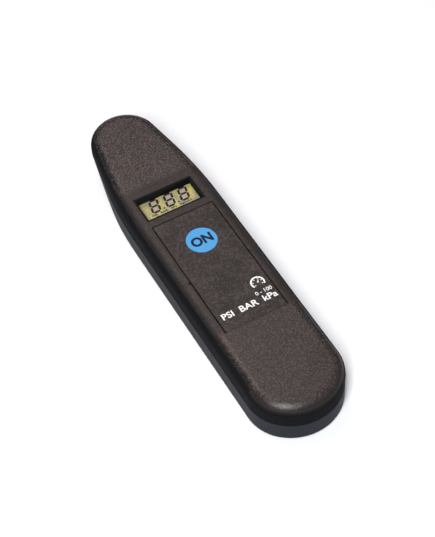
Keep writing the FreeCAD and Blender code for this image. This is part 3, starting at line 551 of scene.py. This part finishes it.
def text_mesh(name, words, low, high, bottom, top, bold):
    """Words set in the built-in font and fitted into the box from low to high, both (x, y)."""
    curve = bpy.data.curves.new(name, "FONT")
    curve.body = words
    curve.extrude = 0.5    # any thickness will do, because the box sets it
    curve.offset = bold
    curve.resolution_u = 6
    setting = place_in_scene(name, curve)
    bpy.context.view_layer.update()
    mesh = bpy.data.meshes.new_from_object(setting.evaluated_get(bpy.context.evaluated_depsgraph_get()))
    bpy.data.objects.remove(setting)
    bpy.data.curves.remove(curve)
    mesh.name = name
    spots = [vertex.co.copy() for vertex in mesh.vertices]
    start = [min(spot[axis] for spot in spots) for axis in range(3)]
    end = [max(spot[axis] for spot in spots) for axis in range(3)]
    goal_start = (low[0], low[1], bottom)
    goal_end = (high[0], high[1], top)
    for vertex, spot in zip(mesh.vertices, spots):
        for axis in range(3):
            share = (spot[axis] - start[axis]) / (end[axis] - start[axis])
            vertex.co[axis] = goal_start[axis] + share * (goal_end[axis] - goal_start[axis])
    return mesh


# ---- printing on the panel ---------------------------------------------------------------------

def on_panel(x, y):
    """A point given in millimetres from the middle of the panel's head edge."""
    return x * MM, PANEL_HEAD_EDGE + y * MM


# the printed spot, and the half width and height of its letters
SPOT_CENTRE = on_panel(0.3, -13.1)
SPOT_RADIUS = 5.35 * MM
LETTERS_HALF = Vector((3.85, 2.05)) * MM
LETTERS_BOLD = 0.04

# the dial sign: an arc, ticks inside it and a needle, with angles in degrees from +X
DIAL_CENTRE = on_panel(7.4, -38.3)
DIAL_START, DIAL_SWEEP = -35, 250
DIAL_RADII = (1.95 * MM, 2.5 * MM)
TICK_COUNT = 6
TICK_RADII = (1.35 * MM, 1.75 * MM)
TICK_HALF = 0.16 * MM
NEEDLE_ANGLE = 52
NEEDLE_LENGTH = 1.55 * MM
NEEDLE_HALF = 0.28 * MM

# lines of words, each with the box that it fills, given as for on_panel, and how bold it is
PANEL_LINES = (
    ("unit_line", "PSI  BAR  kPa", (-9.7, -46.2), (10.7, -43.7), 0.018),
    ("range_line", "0 - 100", (4.3, -42.9), (10.4, -41.4), 0.008),
)

SPOT_INK = ink("spot_ink", SPOT_BLUE, 0.55, 0.06)
NAVY_INK = ink("navy_ink", NAVY, 0.75, 0.15)
PALE_INK = ink("pale_ink", WHITE_INK, 0.55, 0.05)
INK_LOW, INK_HIGH = CASE_TOP - INK_ROOT, CASE_TOP + INK


def finger_spot():
    """The printed disc that shows where to press, with its word on top."""
    disc = sheet_mesh("spot", [circle(SPOT_CENTRE, SPOT_RADIUS)], INK_LOW, INK_HIGH)
    piece("finger_spot", disc, "key_panel", SPOT_INK)
    low = Vector(SPOT_CENTRE) - LETTERS_HALF
    high = Vector(SPOT_CENTRE) + LETTERS_HALF
    bottom, top = CASE_TOP + INK / 2, CASE_TOP + 2 * INK
    letters = text_mesh("letters", "ON", low, high, bottom, top, LETTERS_BOLD)
    piece("spot_letters", letters, "key_panel", NAVY_INK)


def dial_outlines():
    """The ticks of the dial sign and its needle."""
    centre = Vector(DIAL_CENTRE)
    outlines = []
    for k in range(TICK_COUNT):
        out = direction(DIAL_START + k * DIAL_SWEEP / (TICK_COUNT - 1))
        side = across(out) * TICK_HALF
        inner, outer = (centre + out * radius for radius in TICK_RADII)
        outlines.append([inner - side, outer - side, outer + side, inner + side])
    needle = direction(NEEDLE_ANGLE)
    side = across(needle) * NEEDLE_HALF
    outlines.append([centre + needle * NEEDLE_LENGTH, centre + side, centre - side])
    return outlines


def panel_print():
    """Units and range in pale ink near the tail end of the panel, with a small dial sign."""
    for name, words, low, high, bold in PANEL_LINES:
        mesh = text_mesh(name, words, on_panel(*low), on_panel(*high), INK_LOW, INK_HIGH, bold)
        piece(name, mesh, "key_panel", PALE_INK)
    heights = (INK_LOW, INK_HIGH)
    arc = arc_mesh("dial_arc", DIAL_CENTRE, DIAL_RADII, DIAL_START, DIAL_SWEEP, heights, count=60)
    piece("dial_arc", arc, "key_panel", PALE_INK)
    marks = sheet_mesh("dial_marks", dial_outlines(), INK_LOW, INK_HIGH)
    piece("dial_marks", marks, "key_panel", PALE_INK)


# ---- display digits ----------------------------------------------------------------------------

# places on the display are millimetres in the frame: the rows of a digit's level bars along Y,
# the digits' middles along X, and how far apart a digit's upright bars stand
DIGIT_ROWS = (24.42, 27.1, 29.72)
DIGIT_CENTRES = (-5.3, 0.4, 6.0)
DIGIT_SPREAD = 2.82
BAR = 0.84
BAR_GAP = 0.09
SLANT = math.tan(math.radians(10))

DOT_CENTRES = ((-2.83, 24.65), (2.81, 24.65))
DOT_RADIUS = 0.34

# rows of small signs, each with the box that it fills, and how bold they are
SIGN_ROWS = (
    ("unit_signs", "PSI   BAR   kPa   kg/cm2", (-8.1, 22.75), (7.2, 23.8)),
    ("state_signs", "- + LO   HI   ERR", (-8.1, 20.9), (7.2, 22.1)),
)
SIGN_BOLD = 0.03


def bar(start, end):
    """A segment of a digit: a bar with pointed ends, from start to end."""
    along = (end - start).normalized()
    side = across(along) * BAR / 2
    tip = along * BAR / 2
    return [start, start + tip - side, end - tip - side, end, end - tip + side, start + tip + side]


def leaning(centre, outline):
    """An upright outline, with X from the digit's middle, made to lean about the middle row."""
    return [((centre + x + (y - DIGIT_ROWS[1]) * SLANT) * MM, y * MM) for x, y in outline]


def digit_outlines(centre):
    """The seven bars of an eight."""
    half = DIGIT_SPREAD / 2
    level = [bar(Vector((BAR_GAP - half, row)), Vector((half - BAR_GAP, row))) for row in DIGIT_ROWS]
    upright = [
        bar(Vector((side * half, low + BAR_GAP)), Vector((side * half, high - BAR_GAP)))
        for side in (-1, 1) for low, high in zip(DIGIT_ROWS, DIGIT_ROWS[1:])
    ]
    return [leaning(centre, outline) for outline in level + upright]


def cell_outlines(centre):
    """The two pale fields inside the loops of an eight."""
    half = (DIGIT_SPREAD - BAR) / 2
    fields = [(low + BAR / 2, high - BAR / 2) for low, high in zip(DIGIT_ROWS, DIGIT_ROWS[1:])]
    return [
        leaning(centre, ((-half, low), (half, low), (half, high), (-half, high)))
        for low, high in fields
    ]


def display_print():
    """Three eights with their pale fields, two decimal points and two rows of small signs."""
    low, high = FILM_TOP - INK_ROOT, FILM_TOP + INK
    dark = ink("segment_ink", SEGMENT_DARK, 0.8, 0.2)
    grey = ink("cell_ink", CELL_GREY, 0.6, 0.1)
    for k, centre in enumerate(DIGIT_CENTRES):
        cells = sheet_mesh(f"cells{k}", cell_outlines(centre), low, FILM_TOP + INK / 2)
        piece(f"digit_cells_{k}", cells, "case", grey)
        bars = sheet_mesh(f"bars{k}", digit_outlines(centre), low, high)
        piece(f"digit_{k}", bars, "case", dark)
    rings = [circle(Vector(centre) * MM, DOT_RADIUS * MM, count=24) for centre in DOT_CENTRES]
    dots = sheet_mesh("dots", rings, low, high)
    piece("decimal_points", dots, "case", dark)
    for name, words, start, end in SIGN_ROWS:
        mesh = text_mesh(name, words, Vector(start) * MM, Vector(end) * MM, low, high, SIGN_BOLD)
        piece(name, mesh, "case", dark)


# ---- marks on the battery cap ------------------------------------------------------------------

# the arrow: an arc with a pointed head at its end, in degrees from +X, raised from the cap's face
ARROW_START, ARROW_SWEEP = 35, 110
ARROW_RADII = (8.9 * MM, 9.5 * MM)
ARROW_HEAD_LENGTH = 2.2 * MM
ARROW_HEAD_HALF = 1.1 * MM
ARROW_RAISED = 0.06 * MM
ARROW_ROOT = 0.02 * MM


def cap_marks():
    """A turning arrow beside the coin slot of the battery cap."""
    centre = (CAP_LOW.xy + CAP_HIGH.xy) / 2
    low, high = CAP_LOW.z - ARROW_RAISED, CAP_LOW.z + ARROW_ROOT
    arc = arc_mesh("arrow_arc", centre, ARROW_RADII, ARROW_START, ARROW_SWEEP, (low, high), count=40)
    piece("cap_arrow_arc", arc, "battery_cap", MATERIALS["back_plastic"])
    out = direction(ARROW_START + ARROW_SWEEP)
    middle = centre + out * sum(ARROW_RADII) / 2
    side = out * ARROW_HEAD_HALF
    head = [middle + across(out) * ARROW_HEAD_LENGTH, middle + side, middle - side]
    arrow = sheet_mesh("arrow_head", [head], low, high)
    piece("cap_arrow_head", arrow, "battery_cap", MATERIALS["back_plastic"])


finger_spot()
panel_print()
display_print()
cap_marks()


# ---- floor, light and camera -------------------------------------------------------------------

# half the side of the floor, in metres
FLOOR_HALF = 0.6

# lights in metres and watts: a long one left of the camera, and a weak warm one behind the head
OVERHEAD = {"at": (-0.36, -0.40, 0.73), "size": (0.24, 0.56), "power": 9.2, "colour": (1.0, 0.96, 0.94)}
BEHIND = {"at": (-0.02, 0.42, 0.72), "size": (0.42, 0.34), "power": 2.2, "colour": (1.0, 0.78, 0.70)}

# the sky's strength climbs from low at the horizon to high overhead, as a power of the height
SKY_LOW, SKY_HIGH, SKY_FALL = 0.05, 1.0, 4.0
SKY_TINT = (0.72, 0.86, 1.0, 1.0)
BACKDROP_TINT = (0.62, 0.63, 0.64, 1.0)


def floor():
    """A large sheet of white paper under the case."""
    build = bmesh.new()
    under = CAD_BOX[0][2]
    signs = ((-1, -1), (1, -1), (1, 1), (-1, 1))
    build.faces.new([build.verts.new((x * FLOOR_HALF, y * FLOOR_HALF, under)) for x, y in signs])
    mesh = made_mesh("floor", build)
    surface = Surface("floor_paper")
    cloud = surface.noise(120.0)
    fibre = surface.noise(0.8)
    mesh.materials.append(surface.finish(
        Base_Color=surface.tint(cloud, (0.85, 0.87, 0.88), (0.88, 0.9, 0.91)),
        Roughness=surface.vary(fibre, 0.6, 0.75),
        Normal=surface.bump(fibre, 0.01),
    ))
    thing = place_in_scene("floor", mesh)


def area_light(name, at, size, power, colour):
    """A soft rectangular light that faces the frame's origin, below the middle of the case."""
    data = bpy.data.lights.new(name, "AREA")
    data.shape = "RECTANGLE"
    data.size, data.size_y = size
    data.energy = power
    data.color = colour
    thing = place_in_scene(name, data)
    thing.location = at
    thing.rotation_euler = (-Vector(at)).to_track_quat("-Z", "Y").to_euler()


def sky():
    """Light from above that falls off towards the horizon, and an even backdrop for the camera."""
    world = bpy.data.worlds.new("studio")
    world.use_nodes = True
    tree = world.node_tree
    upward = tree.nodes.new("ShaderNodeSeparateXYZ")
    tree.links.new(tree.nodes.new("ShaderNodeTexCoord").outputs["Generated"], upward.inputs[0])
    rise = tree.nodes.new("ShaderNodeMath")
    rise.operation = "POWER"
    rise.use_clamp = True
    rise.inputs[1].default_value = SKY_FALL
    tree.links.new(upward.outputs["Z"], rise.inputs[0])
    glow = tree.nodes.new("ShaderNodeMapRange")
    glow.inputs["To Min"].default_value = SKY_LOW
    glow.inputs["To Max"].default_value = SKY_HIGH
    tree.links.new(rise.outputs[0], glow.inputs["Value"])
    light = tree.nodes["Background"]
    light.inputs["Color"].default_value = SKY_TINT
    tree.links.new(glow.outputs["Result"], light.inputs["Strength"])
    backdrop = tree.nodes.new("ShaderNodeBackground")
    backdrop.inputs["Color"].default_value = BACKDROP_TINT
    seen = tree.nodes.new("ShaderNodeLightPath")
    mix = tree.nodes.new("ShaderNodeMixShader")
    tree.links.new(seen.outputs["Is Camera Ray"], mix.inputs[0])
    tree.links.new(light.outputs[0], mix.inputs[1])
    tree.links.new(backdrop.outputs[0], mix.inputs[2])
    tree.links.new(mix.outputs[0], tree.nodes["World Output"].inputs["Surface"])
    bpy.context.scene.world = world


# the photo's point of view: places in metres, the sensor's width and the lens in millimetres
CAMERA_AT = Vector((-0.1329, -0.2757, 0.3934))
LOOK_AT = Vector((-0.0011, -0.0101, 0.0166))
CAMERA_ROLL = math.radians(3.57)
SENSOR = 36.0
LENS = 97.2


def camera():
    """The camera at the photo's point of view, rolled a little about its line of sight."""
    data = bpy.data.cameras.new("camera")
    data.sensor_width = SENSOR
    data.lens = LENS
    thing = place_in_scene("camera", data)
    level = (LOOK_AT - CAMERA_AT).to_track_quat("-Z", "Y")
    thing.rotation_mode = "QUATERNION"
    thing.rotation_quaternion = level @ Quaternion((0, 0, 1), -CAMERA_ROLL)
    thing.location = CAMERA_AT
    bpy.context.scene.camera = thing


floor()
area_light("overhead", **OVERHEAD)
area_light("behind", **BEHIND)
sky()
camera()
bpy.context.scene.view_settings.view_transform = "Standard"
